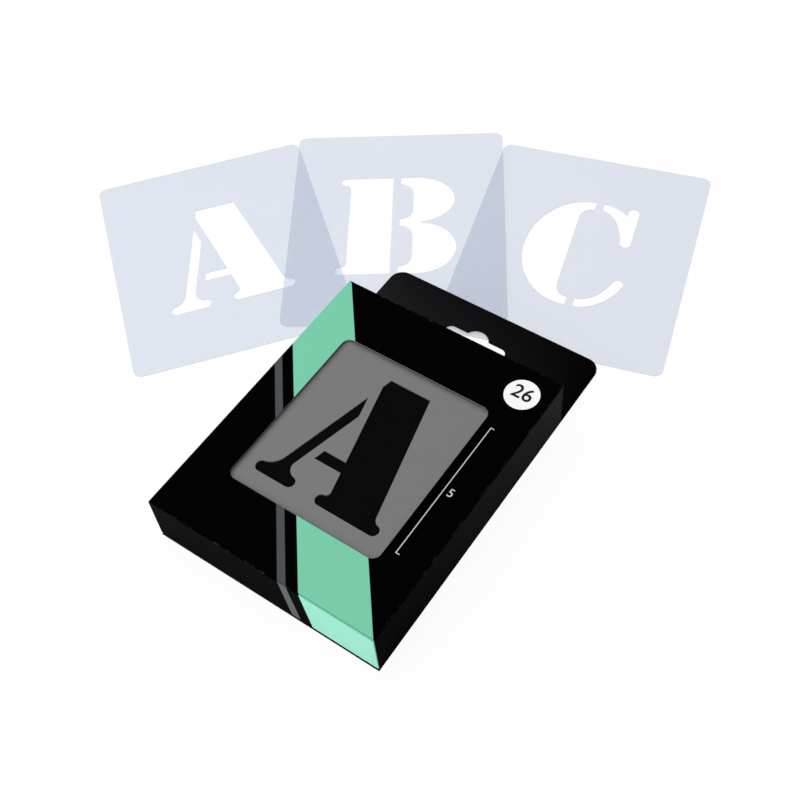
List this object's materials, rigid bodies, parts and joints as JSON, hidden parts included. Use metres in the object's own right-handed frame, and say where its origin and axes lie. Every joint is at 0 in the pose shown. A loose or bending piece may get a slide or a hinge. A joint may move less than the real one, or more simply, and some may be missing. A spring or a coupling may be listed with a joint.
{
  "type": "lettering stencil set",
  "caption": "Boxed lettering stencils: a tuck-end carton with a display window and slotted hang panel, and loose translucent cards fanned beside it, each with a cut-out capital.",
  "frame": {"origin": "on the surface that the set lies on, under the middle of the whole set's bounding box", "axes": "+Z out of the display window, +Y towards the hang slot, +X to the right as the window is read"},
  "size_m": [0.226, 0.2302, 0.0214],
  "materials": {
    "carton_board": "printed folding board, black satin with a mint and a grey stripe",
    "liner_board": "plain black board",
    "display_board": "plain grey card, die-cut",
    "stencil_film": "frosted translucent film, die-cut"
  },
  "bodies": {
    "carton": {"carton_sleeve": "carton_board", "hang_panel": "carton_board", "dust_flap_top_left": "carton_board", "dust_flap_top_right": "carton_board", "dust_flap_bottom_left": "carton_board", "dust_flap_bottom_right": "carton_board", "liner_card": "liner_board", "display_card": "display_board", "stencil_d": "stencil_film", "stencil_e": "stencil_film", "stencil_f": "stencil_film", "stencil_g": "stencil_film", "stencil_h": "stencil_film", "stencil_i": "stencil_film", "stencil_j": "stencil_film", "stencil_k": "stencil_film", "stencil_l": "stencil_film", "stencil_m": "stencil_film", "stencil_n": "stencil_film", "stencil_o": "stencil_film", "stencil_p": "stencil_film", "stencil_q": "stencil_film", "stencil_r": "stencil_film", "stencil_s": "stencil_film", "stencil_t": "stencil_film", "stencil_u": "stencil_film", "stencil_v": "stencil_film", "stencil_w": "stencil_film", "stencil_x": "stencil_film", "stencil_y": "stencil_film", "stencil_z": "stencil_film"},
    "top_flap": {"closing_flap_top": "carton_board"},
    "top_lip": {"tuck_lip_top": "carton_board"},
    "bottom_flap": {"closing_flap_bottom": "carton_board"},
    "bottom_lip": {"tuck_lip_bottom": "carton_board"},
    "card_a": {"stencil_a": "stencil_film"},
    "card_b": {"stencil_b": "stencil_film"},
    "card_c": {"stencil_c": "stencil_film"}
  },
  "joints": [
    {"name": "top_flap_hinge", "type": "hinge", "parent": "carton", "child": "top_flap", "pos_m": [0.05284, -0.01133, 0.02115], "axis": [1, 0, 0], "range_deg": [0, 120]},
    {"name": "top_lip_fold", "type": "hinge", "parent": "top_flap", "child": "top_lip", "pos_m": [0.05284, -0.01158, 0.0035], "axis": [1, 0, 0], "range_deg": [-66, 0]},
    {"name": "bottom_flap_hinge", "type": "hinge", "parent": "carton", "child": "bottom_flap", "pos_m": [0.05284, -0.11483, 0.02115], "axis": [-1, 0, 0], "range_deg": [0, 120]},
    {"name": "bottom_lip_fold", "type": "hinge", "parent": "bottom_flap", "child": "bottom_lip", "pos_m": [0.05284, -0.11458, 0.0035], "axis": [-1, 0, 0], "range_deg": [-66, 0]},
    {"name": "card_a_slide", "type": "slide", "parent": "carton", "child": "card_a", "axis": [-0.7727, 0.6347, 0], "range_m": [0, 0.1]},
    {"name": "card_b_slide", "type": "slide", "parent": "carton", "child": "card_b", "axis": [-0.5446, 0.8387, 0], "range_m": [0, 0.1]},
    {"name": "card_c_slide", "type": "slide", "parent": "carton", "child": "card_c", "axis": [-0.2807, 0.9598, 0], "range_m": [0, 0.1]}
  ],
  "couplings": [
    {"joint": "top_lip_fold", "follows": "top_flap_hinge", "ratio": -0.55},
    {"joint": "bottom_lip_fold", "follows": "bottom_flap_hinge", "ratio": -0.55}
  ]
}
